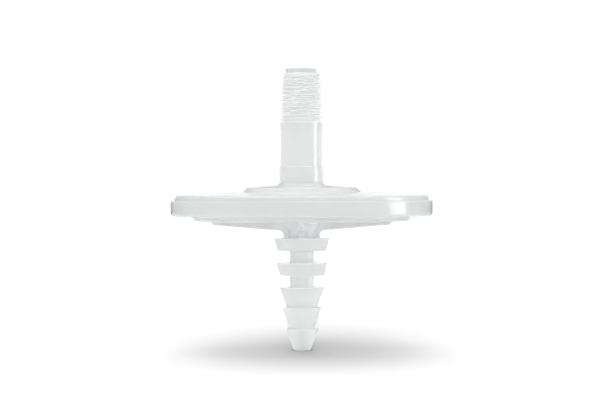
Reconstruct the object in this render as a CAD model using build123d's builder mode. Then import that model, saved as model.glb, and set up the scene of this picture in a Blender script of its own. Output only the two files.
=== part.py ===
from build123d import *
from math import atan, cos, degrees, radians, sin
import os

os.makedirs("parts", exist_ok=True)

# Sizes are in millimetres and the axis of the filter is Z.
# Height 0 is the flat end of the hose barb, and the threaded stem points up.

# Bores
barb_bore_radius = 1.45
stem_bore_radius = 2.4

# Hose barb, counted from its tip: the three lower steps follow one another
tip_radius = 2.07
first_step_radius = 4.17
first_step_length = 5.45
second_step_root_radius = 3.15
second_step_radius = 4.75
second_step_length = 5.1
third_step_root_radius = 3.78
third_step_radius = 5.57
third_step_length = 4.95
barb_neck_radius = 2.98
lower_neck_length = 2.74
fourth_step_root_radius = 5.48
fourth_step_radius = 6.31
fourth_step_length = 3.23
upper_neck_length = 2.83
fifth_step_root_radius = 5.98
fifth_step_radius = 6.77
fifth_step_length = 3.18
step_edge_cut = 0.14
step_heel_round = 0.3
neck_fillet = 0.3
ledge_edge_share = 0.2
ledge_fillet_share = 0.32
tip_round = 0.2

# Flared throat between the barb and the outlet plate
throat_radius = 3.15
throat_length = 1.5
throat_flare_length = 1.55
throat_boss_radius = 4.5
throat_boss_length = 1.12
throat_flare_fillet = 1.3
throat_boss_round = 0.7

# Four gussets under the outlet plate
gusset_count = 4
gusset_thickness = 1.25
gusset_foot_radius = 4.47
gusset_foot_height = 1.77
gusset_foot_fillet = 1.2
gusset_end_setback = 4.3
gusset_outer_depth = 0.98
gusset_end_run = 0.85
gusset_end_round = 0.3
gusset_bury = 0.6

# Outlet half: plate, rim and cup
band_ledge_width = 5.3
plate_drop = 1.2
plate_edge_round = 1.1
plate_floor_thickness = 1.75
floor_fall = 0.25
funnel_radius = 3.2
funnel_depth = 1.8
band_radius = 32.0
band_height = 3.83
band_lower_round = 0.8
band_upper_round = 0.28
band_wall = 0.95
rim_thickness = 1.55
disc_clamp_width = 3.5

# Support grid on the outlet floor
grid_first_radius = 5.2
grid_ring_pitch = 3.0
grid_ring_width = 0.9
grid_channel_count = 8
grid_channel_width = 1.7
grid_spoke_width = 0.9
grid_edge_gap = 1.5
grid_bury = 0.4

# Filter discs between the two halves
fleece_thickness = 0.25
membrane_thickness = 0.2
disc_clearance = 0.2

# Inlet half: ring, cover, dome and inner vanes
seat_clearance = 0.05
ring_height = 3.42
ring_edge_round = 0.5
weld_lip_width = 0.7
cover_rise = 0.97
cover_thickness = 1.75
dome_base_radius = 14.55
dome_shoulder_radius = 13.25
dome_shoulder_height = 1.0
dome_shoulder_round = 0.6
dome_rise = 0.72
dome_bulge = 0.05
dome_inner_radius = 12.2
dome_inner_height = 1.05
dome_inner_rise = 0.55
inlet_funnel_radius = 3.6
inlet_funnel_height = 1.1
vane_count = 8
vane_thickness = 1.0
vane_inner_radius = 5.0
short_vane_inner_radius = 14.6
vane_edge_gap = 1.4
vane_bury = 0.5

# Stem: base, shank and pilot, stepped from the thread's own radii
stem_base_step = 0.25
stem_base_length = 4.5
stem_base_round = 0.15
stem_base_fillet = 0.75
shank_length = 10.85
shank_flare_step = 0.09
shank_flare_length = 2.6
shank_end_length = 0.35
shank_end_margin = 0.08
pilot_inset = 0.24
pilot_length = 1.05
pilot_round = 0.3

# Right-hand taper pipe thread of 27 turns an inch
inch = 25.4
turns_an_inch = 27
thread_length = 11.95
thread_root_radius = 4.39
thread_taper = 1 / 32
thread_depth = 0.66
thread_crest_width = 0.1
thread_root_width = 0.1
thread_bury = 0.08
thread_start_turn = 115
thread_nose_rise = 0.25
thread_lead_in = 1.0
thread_end_setback = 0.1

# Heights that follow from the lengths above
first_step_top = first_step_length
second_step_top = first_step_top + second_step_length
third_step_top = second_step_top + third_step_length
fourth_step_heel = third_step_top + lower_neck_length
fourth_step_top = fourth_step_heel + fourth_step_length
fifth_step_heel = fourth_step_top + upper_neck_length
fifth_step_top = fifth_step_heel + fifth_step_length
throat_top = fifth_step_top + throat_length
boss_shoulder = throat_top + throat_flare_length
plate_bottom = boss_shoulder + throat_boss_length
band_bottom = plate_bottom + plate_drop
band_top = band_bottom + band_height
land_height = band_bottom + rim_thickness
floor_edge = plate_bottom + plate_floor_thickness
floor_middle = floor_edge - floor_fall
gusset_foot_top = fifth_step_top + gusset_foot_height
membrane_bottom = land_height + fleece_thickness
membrane_top = membrane_bottom + membrane_thickness
stack_top = membrane_top + fleece_thickness
ring_top = land_height + ring_height
dome_base = ring_top + cover_rise
dome_shoulder = dome_base + dome_shoulder_height
dome_top = dome_shoulder + dome_rise
ceiling_edge = ring_top - cover_thickness
ceiling_middle = dome_base - cover_thickness
dome_ceiling = ceiling_middle + dome_inner_height
dome_ceiling_top = dome_ceiling + dome_inner_rise
stem_step = dome_top + stem_base_length
shank_top = stem_step + shank_length
thread_top = shank_top + thread_length
stem_top = thread_top + pilot_length

# Radii and turns of the thread, and the stem's radii that follow from them
thread_pitch = inch / turns_an_inch
thread_small_radius = thread_root_radius - thread_length * thread_taper
thread_crest_radius = thread_root_radius + thread_depth
thread_nose_radius = thread_small_radius + thread_nose_rise
thread_start = shank_top - thread_pitch / 2
thread_end = thread_top - thread_end_setback
thread_start_radius = thread_root_radius + thread_pitch / 2 * thread_taper - thread_bury
ridge_height = thread_length + thread_pitch
ridge_depth = thread_depth + thread_bury
ridge_half_foot = (thread_pitch - thread_root_width) / 2
ridge_half_crest = thread_crest_width / 2
shank_flare_radius = thread_crest_radius + shank_end_margin
shank_radius = shank_flare_radius - shank_flare_step
stem_base_radius = shank_radius + stem_base_step
pilot_radius = thread_small_radius - pilot_inset

# Radii that follow from the band's
cup_radius = band_radius - band_wall
ring_radius = cup_radius - seat_clearance
lip_radius = ring_radius - weld_lip_width
disc_radius = lip_radius - disc_clearance
chamber_radius = lip_radius - disc_clamp_width
plate_radius = band_radius - band_ledge_width
gusset_end_radius = plate_radius - gusset_end_setback
gusset_outer_radius = gusset_end_radius - gusset_end_run
vane_outer_radius = chamber_radius - vane_edge_gap
grid_outer_radius = chamber_radius - grid_edge_gap
grid_ring_span = grid_outer_radius - grid_ring_width / 2 - grid_first_radius
grid_ring_count = int(grid_ring_span / grid_ring_pitch) + 1
spoke_inner_radius = grid_first_radius + grid_ring_pitch
spoke_length = grid_outer_radius - spoke_inner_radius
spoke_middle = (grid_outer_radius + spoke_inner_radius) / 2
spoke_start = 180 / grid_channel_count
dome_arc_radius = (dome_shoulder_radius + stem_base_radius) / 2
dome_arc_height = (dome_shoulder + dome_top) / 2 + dome_bulge

# Cuts and rounds on the two narrow ledges of the barb, kept within the ledge
first_ledge = first_step_radius - second_step_root_radius
second_ledge = second_step_radius - third_step_root_radius
first_edge_cut = min(step_edge_cut, first_ledge * ledge_edge_share)
second_edge_cut = min(step_edge_cut, second_ledge * ledge_edge_share)
second_root_fillet = min(neck_fillet, first_ledge * ledge_fillet_share)
third_root_fillet = min(neck_fillet, second_ledge * ledge_fillet_share)


def radial_plane(turn):
    """Upright plane through the axis, its x pointing outward at this turn in degrees."""
    angle = radians(turn)
    return Plane(
        origin=(0, 0, 0),
        x_dir=(cos(angle), sin(angle), 0),
        z_dir=(sin(angle), -cos(angle), 0),
    )


def round_corners(sketch, corners):
    """Rounds the sketch at each radius and height given with a rounding radius."""
    for radius, height, rounding in corners:
        near = sketch.vertices().sort_by_distance((radius, height))[0]
        fillet(near, radius=rounding)


def cut_corners(sketch, corners):
    """Chamfers the sketch at each radius and height given with the length cut off."""
    for radius, height, length in corners:
        near = sketch.vertices().sort_by_distance((radius, height))[0]
        chamfer(near, length=length)


# Outlet half: hose barb, throat, plate and cup in one turned body
with BuildPart() as outlet_half:
    with BuildSketch(Plane.XZ) as outlet_outline:
        with BuildLine():
            Polyline(
                (barb_bore_radius, 0),
                (tip_radius, 0),
                (first_step_radius, first_step_top),
                (second_step_root_radius, first_step_top),
                (second_step_radius, second_step_top),
                (third_step_root_radius, second_step_top),
                (third_step_radius, third_step_top),
                (barb_neck_radius, third_step_top),
                (barb_neck_radius, fourth_step_heel),
                (fourth_step_root_radius, fourth_step_heel),
                (fourth_step_radius, fourth_step_top),
                (barb_neck_radius, fourth_step_top),
                (barb_neck_radius, fifth_step_heel),
                (fifth_step_root_radius, fifth_step_heel),
                (fifth_step_radius, fifth_step_top),
                (throat_radius, fifth_step_top),
                (throat_radius, throat_top),
                (throat_boss_radius, boss_shoulder),
                (throat_boss_radius, plate_bottom),
                (plate_radius, plate_bottom),
                (plate_radius, band_bottom),
                (band_radius, band_bottom),
                (band_radius, band_top),
                (cup_radius, band_top),
                (cup_radius, land_height),
                (chamber_radius, land_height),
                (chamber_radius, floor_edge),
                (funnel_radius, floor_middle),
                (barb_bore_radius, floor_middle - funnel_depth),
                close=True,
            )
        make_face()
        round_corners(
            outlet_outline,
            (
                (tip_radius, 0, tip_round),
                (second_step_root_radius, first_step_top, second_root_fillet),
                (third_step_root_radius, second_step_top, third_root_fillet),
                (barb_neck_radius, third_step_top, neck_fillet),
                (barb_neck_radius, fourth_step_heel, neck_fillet),
                (fourth_step_root_radius, fourth_step_heel, step_heel_round),
                (barb_neck_radius, fourth_step_top, neck_fillet),
                (barb_neck_radius, fifth_step_heel, neck_fillet),
                (fifth_step_root_radius, fifth_step_heel, step_heel_round),
                (throat_radius, fifth_step_top, neck_fillet),
                (throat_radius, throat_top, throat_flare_fillet),
                (throat_boss_radius, boss_shoulder, throat_boss_round),
                (plate_radius, plate_bottom, plate_edge_round),
                (band_radius, band_bottom, band_lower_round),
                (band_radius, band_top, band_upper_round),
            ),
        )
        cut_corners(
            outlet_outline,
            (
                (first_step_radius, first_step_top, first_edge_cut),
                (second_step_radius, second_step_top, second_edge_cut),
                (third_step_radius, third_step_top, step_edge_cut),
                (fourth_step_radius, fourth_step_top, step_edge_cut),
                (fifth_step_radius, fifth_step_top, step_edge_cut),
            ),
        )
    revolve(axis=Axis.Z)

    # Gussets stand on the top barb step and brace the plate
    for number in range(gusset_count):
        with BuildSketch(radial_plane(number * 360 / gusset_count)) as gusset:
            with BuildLine():
                Polyline(
                    (throat_radius - gusset_bury, fifth_step_top - gusset_bury),
                    (gusset_foot_radius, fifth_step_top - gusset_bury),
                    (gusset_foot_radius, gusset_foot_top),
                    (gusset_outer_radius, plate_bottom - gusset_outer_depth),
                    (gusset_end_radius, plate_bottom),
                    (gusset_end_radius, plate_bottom + gusset_bury),
                    (throat_radius - gusset_bury, plate_bottom + gusset_bury),
                    close=True,
                )
            make_face()
            round_corners(
                gusset,
                (
                    (gusset_foot_radius, gusset_foot_top, gusset_foot_fillet),
                    (
                        gusset_outer_radius,
                        plate_bottom - gusset_outer_depth,
                        gusset_end_round,
                    ),
                ),
            )
        extrude(amount=gusset_thickness / 2, both=True)

    # Concentric support ribs, broken by straight channels that lead to the bore
    with BuildSketch(Plane.XY.offset(floor_middle - grid_bury)):
        for number in range(grid_ring_count):
            ring = grid_first_radius + number * grid_ring_pitch
            Circle(ring + grid_ring_width / 2)
            Circle(ring - grid_ring_width / 2, mode=Mode.SUBTRACT)
        with PolarLocations(chamber_radius / 2, grid_channel_count):
            Rectangle(chamber_radius, grid_channel_width, mode=Mode.SUBTRACT)
        with PolarLocations(spoke_middle, grid_channel_count, start_angle=spoke_start):
            Rectangle(spoke_length, grid_spoke_width)
    extrude(amount=land_height - floor_middle + grid_bury)

# Thread ridge: it starts inside the shank's end and is longer than the thread
ridge_plane = Plane(
    origin=(thread_start_radius, 0, 0),
    x_dir=(1, 0, 0),
    z_dir=(0, -1, 0),
)
with BuildPart() as thread_ridge:
    with BuildSketch(ridge_plane):
        with BuildLine():
            Polyline(
                (0, -ridge_half_foot),
                (ridge_depth, -ridge_half_crest),
                (ridge_depth, ridge_half_crest),
                (0, ridge_half_foot),
                close=True,
            )
        make_face()
    with BuildLine() as ridge_path:
        Helix(
            pitch=thread_pitch,
            height=ridge_height,
            radius=thread_start_radius,
            cone_angle=-degrees(atan(thread_taper)),
        )
    sweep(path=ridge_path.line, is_frenet=True)

# Room for the ridge: it ends just under the pilot's foot with a conical lead-in
with BuildPart() as thread_room:
    with BuildSketch(Plane.XZ):
        with BuildLine():
            Polyline(
                (stem_bore_radius, thread_start - thread_pitch),
                (shank_flare_radius, thread_start - thread_pitch),
                (shank_flare_radius, thread_end - thread_lead_in),
                (thread_nose_radius, thread_end),
                (stem_bore_radius, thread_end),
                close=True,
            )
        make_face()
    revolve(axis=Axis.Z)
ridge_place = Location((0, 0, thread_start), (0, 0, thread_start_turn))
thread = thread_ridge.part.moved(ridge_place) & thread_room.part

# Inlet half: ring, cover, dome and threaded stem in one body
with BuildPart() as inlet_half:
    with BuildSketch(Plane.XZ) as inlet_outline:
        with BuildLine():
            Polyline(
                (stem_base_radius, dome_top),
                (stem_base_radius, stem_step),
                (shank_radius, stem_step),
                (shank_radius, shank_top - shank_flare_length),
                (shank_flare_radius, shank_top - shank_end_length),
                (shank_flare_radius, shank_top),
                (thread_root_radius, shank_top),
                (thread_small_radius, thread_top),
                (pilot_radius, thread_top),
                (pilot_radius, stem_top),
                (stem_bore_radius, stem_top),
                (stem_bore_radius, dome_ceiling_top + inlet_funnel_height),
                (inlet_funnel_radius, dome_ceiling_top),
                (dome_inner_radius, dome_ceiling),
                (dome_shoulder_radius, ceiling_middle),
                (chamber_radius, ceiling_edge),
                (chamber_radius, stack_top),
                (lip_radius, stack_top),
                (lip_radius, land_height),
                (ring_radius, land_height),
                (ring_radius, ring_top),
                (dome_base_radius, dome_base),
                (dome_shoulder_radius, dome_shoulder),
            )
            ThreePointArc(
                (dome_shoulder_radius, dome_shoulder),
                (dome_arc_radius, dome_arc_height),
                (stem_base_radius, dome_top),
            )
        make_face()
        round_corners(
            inlet_outline,
            (
                (stem_base_radius, dome_top, stem_base_fillet),
                (stem_base_radius, stem_step, stem_base_round),
                (pilot_radius, stem_top, pilot_round),
                (dome_inner_radius, dome_ceiling, dome_shoulder_round),
                (ring_radius, ring_top, ring_edge_round),
                (dome_shoulder_radius, dome_shoulder, dome_shoulder_round),
            ),
        )
    revolve(axis=Axis.Z)

    add(thread)

    # Long vanes under the dome and cover keep the inlet side of the discs open
    for number in range(vane_count):
        with BuildSketch(radial_plane(number * 360 / vane_count)):
            with BuildLine():
                Polyline(
                    (vane_inner_radius, stack_top),
                    (vane_outer_radius, stack_top),
                    (vane_outer_radius, ceiling_edge + vane_bury),
                    (dome_shoulder_radius, ceiling_middle + vane_bury),
                    (dome_inner_radius, dome_ceiling + vane_bury),
                    (vane_inner_radius, dome_ceiling_top + vane_bury),
                    close=True,
                )
            make_face()
        extrude(amount=vane_thickness / 2, both=True)

    # Short vanes between them, under the cover only
    for number in range(vane_count):
        with BuildSketch(radial_plane((number + 0.5) * 360 / vane_count)):
            with BuildLine():
                Polyline(
                    (short_vane_inner_radius, stack_top),
                    (vane_outer_radius, stack_top),
                    (vane_outer_radius, ceiling_edge + vane_bury),
                    (short_vane_inner_radius, ceiling_middle + vane_bury),
                    close=True,
                )
            make_face()
        extrude(amount=vane_thickness / 2, both=True)

# Filter discs, clamped between the two halves
with BuildPart() as outlet_fleece:
    with BuildSketch(Plane.XY.offset(land_height)):
        Circle(disc_radius)
    extrude(amount=fleece_thickness)

with BuildPart() as membrane:
    with BuildSketch(Plane.XY.offset(membrane_bottom)):
        Circle(disc_radius)
    extrude(amount=membrane_thickness)

with BuildPart() as inlet_fleece:
    with BuildSketch(Plane.XY.offset(membrane_top)):
        Circle(disc_radius)
    extrude(amount=fleece_thickness)

outlet_half.part.label = "outlet_half"
export_step(outlet_half.part, "parts/outlet_half.step")
inlet_half.part.label = "inlet_half"
export_step(inlet_half.part, "parts/inlet_half.step")
outlet_fleece.part.label = "outlet_fleece"
export_step(outlet_fleece.part, "parts/outlet_fleece.step")
membrane.part.label = "membrane"
export_step(membrane.part, "parts/membrane.step")
inlet_fleece.part.label = "inlet_fleece"
export_step(inlet_fleece.part, "parts/inlet_fleece.step")
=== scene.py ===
import math

import bpy
from mathutils import Matrix, Vector


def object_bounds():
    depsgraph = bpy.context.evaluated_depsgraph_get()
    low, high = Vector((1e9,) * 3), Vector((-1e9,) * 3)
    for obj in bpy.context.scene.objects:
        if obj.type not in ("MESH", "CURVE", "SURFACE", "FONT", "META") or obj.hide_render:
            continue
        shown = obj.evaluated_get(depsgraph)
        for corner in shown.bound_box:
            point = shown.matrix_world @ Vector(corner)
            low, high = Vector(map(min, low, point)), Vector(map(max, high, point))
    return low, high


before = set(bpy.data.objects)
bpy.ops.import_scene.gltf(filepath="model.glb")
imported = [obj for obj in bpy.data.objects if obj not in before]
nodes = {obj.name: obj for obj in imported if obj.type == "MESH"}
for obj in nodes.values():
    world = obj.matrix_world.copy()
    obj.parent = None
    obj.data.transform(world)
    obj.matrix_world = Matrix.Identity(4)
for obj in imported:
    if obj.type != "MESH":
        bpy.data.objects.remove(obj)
cad_low, cad_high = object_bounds()
RIM_RADIUS = cad_high[0]
MM = 0.001

# Photograph: its width in pixels, and the millimetres that a pixel covers at the axis
PHOTO_WIDTH = 605
MM_A_PIXEL = 0.2449

# Camera in millimetres: its distance, the height of its eye, the point it looks at
# and its sensor. Its roll is in degrees and its clipping in metres
CAMERA_DISTANCE = 480.0
EYE_HEIGHT = 40.2
AIM_HEIGHT = 35.79
AIM_SIDE = 0.22
SENSOR_WIDTH = 36.0
ROLL_DEG = -0.22
CLIP_METRES = (0.01, 50.0)

# Natural polypropylene: refraction, clear share, and share of the light that scatters
PLASTIC_IOR = 1.49
CLEAR_SHARE = 0.01
SCATTER_SHARE = 0.5
LOWER_SCATTER = 0.5 * MM
UPPER_SCATTER = 0.2 * MM

# Its clouding: noise of each half, and the tint and roughness at the noise's two ends
LOWER_CLOUDS = 90.0
UPPER_CLOUDS = 80.0
CLOUD_DETAIL = 4.0
CLOUD_ENDS = (0.3, 0.7)
CLOUD_TINTS = ((0.98, 0.988, 0.989, 1), (0.989, 0.995, 0.996, 1))
CLOUD_ROUGHNESS = (0.08, 0.13)

# The thread lies between these heights in metres; it is duller than the polished faces
THREAD_HEIGHTS = (0.0555, 0.0677)
THREAD_ROUGHER = 0.25
THREAD_SCATTER = 1.3
THREAD_MILKIER = 0.3

# Painted light and shade: how pale the housing is, by distance from the axis as a share of the
# rim's radius; palest at the barb and stem and darker over the plates, standing in for light
# carried through the plastic
LOWER_PAINTED_LIGHT = (
    (0.166, 1.0),
    (0.176, 0.98),
    (0.215, 0.98),
    (0.24, 0.92),
    (0.93, 0.92),
    (0.97, 0.95),
)
UPPER_PAINTED_LIGHT = ((0.166, 1.0), (0.176, 0.94), (0.93, 0.94), (0.97, 0.965))

# Painted shade: how much darker the pilot collar over the thread is made, and the metres over
# which that sets in
COLLAR_PAINTED_SHADE = 0.87
COLLAR_SHADE_FADE = 0.0002

# Bonded fibre: cells, colours of strand and gap, width and relief of a strand
FIBRE_CELLS = 2600.0
FIBRE_ROUGHNESS = 0.9
STRAND_COLOUR = (0.93, 0.93, 0.92, 1)
GAP_COLOUR = (0.84, 0.85, 0.85, 1)
STRAND_WIDTH = 0.12
STRAND_RELIEF = 0.03 * MM
STRAND_STRENGTH = 0.5

# Porous film: noise, and how pale it is at two values of the noise
FILM_MOTTLE = 900.0
FILM_DETAIL = 5.0
FILM_ROUGHNESS = 0.55
FILM_TINTS = ((0.35, 0.9), (0.65, 0.95))

# Surround by direction: 0 is straight down, 0.5 the horizon and 1 straight up.
# Matt faces see the first, and reflections the second, where 1 is white
FILL_LEVELS = ((0.5, 1.35), (0.56, 0.725))
MIRRORED_LEVELS = (
    (0.0, 0.8),
    (0.555, 1.0),
    (0.575, 0.4),
    (0.75, 0.4),
    (0.9, 0.85),
    (1.0, 1.0),
)

# Floor, by distance from the axis in metres: the grey that the eye sees, with a painted contact
# shadow in a ring round the tip, the light it throws back, and a glow that turns it white far
# out
FLOOR_REACH = 6.0
FLOOR_SEEN = 0.2
CONTACT_SHADOW_RING = (0.0019, 0.0034)
CONTACT_SHADOW_SHARE = 0.3
FLOOR_BOUNCE_NEAR = (0.28, 0.283, 0.284, 1)
FLOOR_BOUNCE_FAR = (0.149, 0.151, 0.151, 1)
BOUNCE_FADE = (0.004, 0.05)
GLOW_RISE = (0.11, 0.3)
GLOW_LEVEL = 0.95

# Floor lamps on an arc over the part, from the camera's side to the far side:
# lean from upright in degrees, and the level that each adds to the open floor
ARC_RADIUS = 0.75
ARC_SIDE = -0.03
ARC_WIDTH = 0.546
ARC_STEP_DEG = 15.0
ARC_LAMPS = (
    (64.0, 0.20),
    (49.0, 0.11),
    (34.0, 0.10),
    (19.0, 0.085),
    (4.0, 0.08),
    (-11.0, 0.09),
    (-26.0, 0.105),
    (-41.0, 0.11),
    (-56.0, 0.16),
)

# Lamps on the part: place and aim in metres, size across and along, and watts
OVERHEAD_SOFT = ((-0.02, 0.0, 0.75), (0, 0, 0), 0.3, 0.9, 1.2)
RIGHT_LOW = ((0.8, 0.0, 0.036), (0, 0, 0.036), 0.3, 0.07, 0.22)
RIGHT_BOX = ((0.16, -0.016, 0.0322), (0, 0, 0.0322), 0.05, 0.0605, 0.046)

# Bounces that let light out of the narrow necks and from between the gussets
MOST_BOUNCES = 32
MATT_BOUNCES = 16

# Sockets of the Mix node: its share, and its two colours and their result
MIX_SHARE = 0
MIX_FIRST = 6
MIX_SECOND = 7
MIX_RESULT = 2


def grey(level):
    """Neutral colour of this level."""
    return (level, level, level, 1)


def node_material(name):
    """New material with an empty node tree: (material, nodes, links)."""
    material = bpy.data.materials.new(name)
    material.use_nodes = True
    tree = material.node_tree
    tree.nodes.clear()
    return material, tree.nodes, tree.links


def principled(made, links, roughness=None):
    """Principled shader that is the material's surface."""
    output = made.new("ShaderNodeOutputMaterial")
    shader = made.new("ShaderNodeBsdfPrincipled")
    if roughness is not None:
        shader.inputs["Roughness"].default_value = roughness
    links.new(shader.outputs["BSDF"], output.inputs["Surface"])
    return shader


def noise(made, links, vector, scale, detail):
    """Socket with a cloudy noise."""
    node = made.new("ShaderNodeTexNoise")
    node.inputs["Scale"].default_value = scale
    node.inputs["Detail"].default_value = detail
    links.new(vector, node.inputs["Vector"])
    return node.outputs["Fac"]


def map_range(made, links, value, source, target=(0.0, 1.0), kind="LINEAR"):
    """Socket with a value carried from one range to another."""
    node = made.new("ShaderNodeMapRange")
    node.interpolation_type = kind
    node.inputs["From Min"].default_value = source[0]
    node.inputs["From Max"].default_value = source[1]
    node.inputs["To Min"].default_value = target[0]
    node.inputs["To Max"].default_value = target[1]
    links.new(value, node.inputs["Value"])
    return node.outputs["Result"]


def colour_ramp(made, links, value, stops):
    """Socket with the colour of a value, from stops of a position and a colour."""
    node = made.new("ShaderNodeValToRGB")
    elements = node.color_ramp.elements
    for stop, (position, colour) in zip(elements, stops):
        stop.position = position
        stop.color = colour
    for position, colour in stops[2:]:
        stop = elements.new(position)
        stop.color = colour
    links.new(value, node.inputs["Fac"])
    return node.outputs["Color"]


def grey_ramp(made, links, value, levels):
    """Socket with the grey of a value, from stops of a position and a level."""
    stops = [(position, grey(level)) for position, level in levels]
    return colour_ramp(made, links, value, stops)


def compared(made, links, operation, value, limit):
    """Socket that is 1 where the value is on the wanted side of a limit, and 0 elsewhere."""
    node = made.new("ShaderNodeMath")
    node.operation = operation
    node.inputs[1].default_value = limit
    links.new(value, node.inputs[0])
    return node.outputs["Value"]


def combined(made, links, operation, first, second):
    """Socket with two values joined by an operation."""
    node = made.new("ShaderNodeMath")
    node.operation = operation
    links.new(first, node.inputs[0])
    links.new(second, node.inputs[1])
    return node.outputs["Value"]


def raised(made, links, zone, extra):
    """Math node that adds an extra inside a zone to the base in its third input."""
    node = made.new("ShaderNodeMath")
    node.operation = "MULTIPLY_ADD"
    node.inputs[1].default_value = extra
    links.new(zone, node.inputs[0])
    return node


def multiplied(made, links, first, second):
    """Socket with the product of two colours."""
    node = made.new("ShaderNodeMix")
    node.data_type = "RGBA"
    node.blend_type = "MULTIPLY"
    node.inputs[MIX_SHARE].default_value = 1.0
    links.new(first, node.inputs[MIX_FIRST])
    links.new(second, node.inputs[MIX_SECOND])
    return node.outputs[MIX_RESULT]


def length_of(made, links, vector):
    """Socket with the length of a vector."""
    node = made.new("ShaderNodeVectorMath")
    node.operation = "LENGTH"
    links.new(vector, node.inputs[0])
    return node.outputs["Value"]


def mixed(made, links, share, first, second):
    """Socket with two shaders mixed by a share of the second."""
    node = made.new("ShaderNodeMixShader")
    links.new(share, node.inputs["Fac"])
    links.new(first, node.inputs[1])
    links.new(second, node.inputs[2])
    return node.outputs["Shader"]


def thread_zone(made, links, height):
    """Socket that is 1 at the heights of the thread and 0 elsewhere."""
    low, high = THREAD_HEIGHTS
    above = compared(made, links, "GREATER_THAN", height, low)
    below = compared(made, links, "LESS_THAN", height, high)
    return combined(made, links, "MULTIPLY", above, below)


def painted_wall_light(made, links, place, height, painted_tints):
    """Socket with painted light and shade: how pale a wall is by its distance from the axis,
    and the painted shade on the collar.
    """
    flat = made.new("ShaderNodeVectorMath")
    flat.operation = "MULTIPLY"
    flat.inputs[1].default_value = (1, 1, 0)
    links.new(place, flat.inputs[0])
    radius = length_of(made, links, flat.outputs["Vector"])
    share = map_range(made, links, radius, (0.0, RIM_RADIUS))
    wall = grey_ramp(made, links, share, painted_tints)
    foot = THREAD_HEIGHTS[1]
    collar = map_range(made, links, height, (foot, foot + COLLAR_SHADE_FADE), (1.0, COLLAR_PAINTED_SHADE))
    return multiplied(made, links, wall, collar)


def translucent_plastic(name, cloud_scale, painted_tints, scatter):
    """Natural polypropylene: milky and glossy, with faint clouding in colour and gloss."""
    material, made, links = node_material(name)
    shader = principled(made, links)
    shader.subsurface_method = "BURLEY"
    shader.inputs["IOR"].default_value = PLASTIC_IOR
    shader.inputs["Transmission Weight"].default_value = CLEAR_SHARE
    shader.inputs["Subsurface Radius"].default_value = (1.0, 1.0, 1.0)

    place = made.new("ShaderNodeTexCoord").outputs["Object"]
    parts = made.new("ShaderNodeSeparateXYZ")
    links.new(place, parts.inputs["Vector"])
    height = parts.outputs["Z"]
    thread = thread_zone(made, links, height)
    # Painted light and shade by distance from the axis, and painted shade on the pilot collar
    painted_light = painted_wall_light(made, links, place, height, painted_tints)

    cloud = noise(made, links, place, cloud_scale, CLOUD_DETAIL)
    tint = colour_ramp(made, links, cloud, tuple(zip(CLOUD_ENDS, CLOUD_TINTS)))
    colour = multiplied(made, links, tint, painted_light)
    links.new(colour, shader.inputs["Base Color"])

    haze = map_range(made, links, cloud, CLOUD_ENDS, CLOUD_ROUGHNESS)
    roughness = raised(made, links, thread, THREAD_ROUGHER)
    links.new(haze, roughness.inputs[2])
    links.new(roughness.outputs["Value"], shader.inputs["Roughness"])

    reach = raised(made, links, thread, (THREAD_SCATTER - 1.0) * scatter)
    reach.inputs[2].default_value = scatter
    links.new(reach.outputs["Value"], shader.inputs["Subsurface Scale"])

    milk = raised(made, links, thread, THREAD_MILKIER)
    milk.inputs[2].default_value = SCATTER_SHARE
    links.new(milk.outputs["Value"], shader.inputs["Subsurface Weight"])
    return material


def fibre_fleece():
    """Bonded white fibre: a fine tangle of strands in colour and relief."""
    material, made, links = node_material("bonded_fibre")
    shader = principled(made, links, FIBRE_ROUGHNESS)
    place = made.new("ShaderNodeTexCoord").outputs["Object"]
    strands = made.new("ShaderNodeTexVoronoi")
    strands.feature = "DISTANCE_TO_EDGE"
    strands.inputs["Scale"].default_value = FIBRE_CELLS
    links.new(place, strands.inputs["Vector"])
    distance = strands.outputs["Distance"]
    stops = ((0.0, STRAND_COLOUR), (STRAND_WIDTH, GAP_COLOUR))
    links.new(colour_ramp(made, links, distance, stops), shader.inputs["Base Color"])
    bump = made.new("ShaderNodeBump")
    bump.inputs["Strength"].default_value = STRAND_STRENGTH
    bump.inputs["Distance"].default_value = STRAND_RELIEF
    links.new(distance, bump.inputs["Height"])
    links.new(bump.outputs["Normal"], shader.inputs["Normal"])
    return material


def porous_film():
    """White porous film: almost even, with faint fine mottling."""
    material, made, links = node_material("porous_film")
    shader = principled(made, links, FILM_ROUGHNESS)
    place = made.new("ShaderNodeTexCoord").outputs["Object"]
    mottle = noise(made, links, place, FILM_MOTTLE, FILM_DETAIL)
    tint = grey_ramp(made, links, mottle, FILM_TINTS)
    links.new(tint, shader.inputs["Base Color"])
    return material


def dress(piece, material):
    """Gives a piece its material in every slot; its mesh stays as the CAD made it."""
    if not piece.material_slots:
        piece.data.materials.append(material)
    for place in piece.material_slots:
        place.material = material


def dress_part():
    """Gives every piece of the part its material."""
    lower = translucent_plastic("lower_polypropylene", LOWER_CLOUDS, LOWER_PAINTED_LIGHT, LOWER_SCATTER)
    upper = translucent_plastic("upper_polypropylene", UPPER_CLOUDS, UPPER_PAINTED_LIGHT, UPPER_SCATTER)
    fibre = fibre_fleece()
    film = porous_film()
    for name, material in (
        ("outlet_half", lower),
        ("inlet_half", upper),
        ("outlet_fleece", fibre),
        ("inlet_fleece", fibre),
        ("membrane", film),
    ):
        dress(nodes[name], material)


def background(made, links, colour):
    """Socket with the surround's light of a colour, which is a value or a socket."""
    node = made.new("ShaderNodeBackground")
    node.inputs["Strength"].default_value = 1.0
    if isinstance(colour, tuple):
        node.inputs["Color"].default_value = colour
    else:
        links.new(colour, node.inputs["Color"])
    return node.outputs["Background"]


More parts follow.
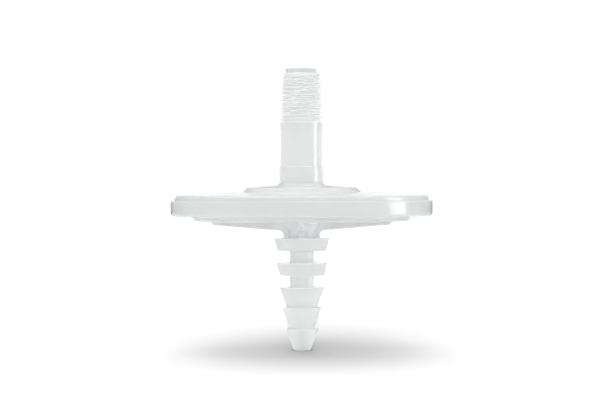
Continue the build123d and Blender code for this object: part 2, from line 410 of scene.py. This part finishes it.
def studio_world():
    """Surround that is white to the eye and through the plastic.

    Reflections see a white sweep under a grey ceiling, and matt faces a bright horizon.
    """
    world = bpy.data.worlds.new("studio")
    bpy.context.scene.world = world
    world.use_nodes = True
    tree = world.node_tree
    tree.nodes.clear()
    made, links = tree.nodes, tree.links
    split = made.new("ShaderNodeSeparateXYZ")
    place = made.new("ShaderNodeTexCoord")
    links.new(place.outputs["Generated"], split.inputs["Vector"])
    rise = map_range(made, links, split.outputs["Z"], (-1.0, 1.0))
    seen = background(made, links, grey(1))
    fill = background(made, links, grey_ramp(made, links, rise, FILL_LEVELS))
    mirrored = background(made, links, grey_ramp(made, links, rise, MIRRORED_LEVELS))
    path = made.new("ShaderNodeLightPath").outputs
    direct = combined(
        made, links, "MAXIMUM", path["Is Camera Ray"], path["Is Transmission Ray"]
    )
    lighting = mixed(made, links, path["Is Glossy Ray"], fill, mirrored)
    surround = mixed(made, links, direct, lighting, seen)
    output = made.new("ShaderNodeOutputWorld")
    links.new(surround, output.inputs["Surface"])


def floor_material():
    """Floor of one grey to the eye, with a painted contact shadow round the tip, and of another
    in the light that it throws back.
    """
    material, made, links = node_material("studio_floor")
    output = made.new("ShaderNodeOutputMaterial")
    place = made.new("ShaderNodeTexCoord").outputs["Object"]
    distance = length_of(made, links, place)

    matte = made.new("ShaderNodeBsdfDiffuse")
    # The eye's grey darkens in a ring round the tip: a painted contact shadow
    painted_shadow_range = (FLOOR_SEEN * CONTACT_SHADOW_SHARE, FLOOR_SEEN)
    seen = map_range(made, links, distance, CONTACT_SHADOW_RING, painted_shadow_range, "SMOOTHSTEP")
    links.new(seen, matte.inputs["Color"])

    glow = made.new("ShaderNodeEmission")
    glow.inputs["Color"].default_value = grey(1)
    rise = map_range(made, links, distance, GLOW_RISE, (0.0, GLOW_LEVEL), "SMOOTHSTEP")
    links.new(rise, glow.inputs["Strength"])
    both = made.new("ShaderNodeAddShader")
    links.new(matte.outputs["BSDF"], both.inputs[0])
    links.new(glow.outputs["Emission"], both.inputs[1])

    bounce = made.new("ShaderNodeBsdfDiffuse")
    fade = map_range(made, links, distance, BOUNCE_FADE, kind="SMOOTHSTEP")
    ends = ((0.0, FLOOR_BOUNCE_NEAR), (1.0, FLOOR_BOUNCE_FAR))
    links.new(colour_ramp(made, links, fade, ends), bounce.inputs["Color"])

    eye = made.new("ShaderNodeLightPath").outputs["Is Camera Ray"]
    surface = mixed(made, links, eye, bounce.outputs["BSDF"], both.outputs["Shader"])
    links.new(surface, output.inputs["Surface"])
    return material


def studio_floor():
    """Floor that its lamps light to white for the eye, with the part's soft shadow kept."""
    mesh = bpy.data.meshes.new("studio_floor")
    far = FLOOR_REACH
    corners = [(-far, -far, 0), (far, -far, 0), (far, far, 0), (-far, far, 0)]
    mesh.from_pydata(corners, [], [(0, 1, 2, 3)])
    floor = bpy.data.objects.new("studio_floor", mesh)
    bpy.context.scene.collection.objects.link(floor)
    mesh.materials.append(floor_material())
    return floor


def area_light(name, place, aim, size_x, size_y, power):
    """Rectangular soft white light at a place in metres, turned towards a point."""
    data = bpy.data.lights.new(name, "AREA")
    data.shape = "RECTANGLE"
    data.size = size_x
    data.size_y = size_y
    data.energy = power
    lamp = bpy.data.objects.new(name, data)
    lamp.location = place
    lamp.rotation_mode = "QUATERNION"
    lamp.rotation_quaternion = (Vector(aim) - Vector(place)).to_track_quat("-Z", "Y")
    lamp.visible_camera = False
    bpy.context.scene.collection.objects.link(lamp)
    return lamp


def light_only(lamp, target):
    """Lets a lamp light one thing only; everything else still casts its shadow there."""
    lit = bpy.data.collections.new(lamp.name + "_lights")
    lit.objects.link(target)
    lamp.light_linking.receiver_collection = lit


def floor_lamps(floor):
    """Arc of lamps that light the floor alone."""
    depth = ARC_RADIUS * math.radians(ARC_STEP_DEG)
    for number, (lean, level) in enumerate(ARC_LAMPS):
        slant = math.radians(lean)
        place = (ARC_SIDE, -ARC_RADIUS * math.sin(slant), ARC_RADIUS * math.cos(slant))
        power = level * (math.pi * ARC_RADIUS) ** 2 / (FLOOR_SEEN * math.cos(slant))
        name = "floor_lamp_%d" % number
        lamp = area_light(name, place, (0, 0, 0), ARC_WIDTH, depth, power)
        light_only(lamp, floor)


def part_lamps():
    """Overhead light, and two on the right: one for matt light, one for reflections."""
    area_light("overhead_soft", *OVERHEAD_SOFT)
    area_light("right_low", *RIGHT_LOW).visible_glossy = False
    area_light("right_box", *RIGHT_BOX).visible_diffuse = False


def photo_camera():
    """Camera of the photograph: level with the dome and looking down by half a degree."""
    data = bpy.data.cameras.new("photo_camera")
    data.sensor_width = SENSOR_WIDTH
    data.lens = SENSOR_WIDTH * CAMERA_DISTANCE / (PHOTO_WIDTH * MM_A_PIXEL)
    data.clip_start, data.clip_end = CLIP_METRES
    camera = bpy.data.objects.new("photo_camera", data)
    eye = Vector((AIM_SIDE, -CAMERA_DISTANCE, EYE_HEIGHT)) * MM
    aim = Vector((AIM_SIDE, 0, AIM_HEIGHT)) * MM
    turn = (aim - eye).to_track_quat("-Z", "Y").to_matrix()
    roll = Matrix.Rotation(math.radians(ROLL_DEG), 3, "Z")
    camera.matrix_world = Matrix.Translation(eye) @ (turn @ roll).to_4x4()
    bpy.context.scene.collection.objects.link(camera)
    bpy.context.scene.camera = camera


def deep_light():
    """Lets light find its way out of the narrow necks and between the gussets."""
    cycles = bpy.context.scene.cycles
    cycles.max_bounces = MOST_BOUNCES
    cycles.diffuse_bounces = MATT_BOUNCES


dress_part()
studio_world()
floor_lamps(studio_floor())
part_lamps()
photo_camera()
deep_light()

bpy.context.scene.view_settings.view_transform = "Standard"
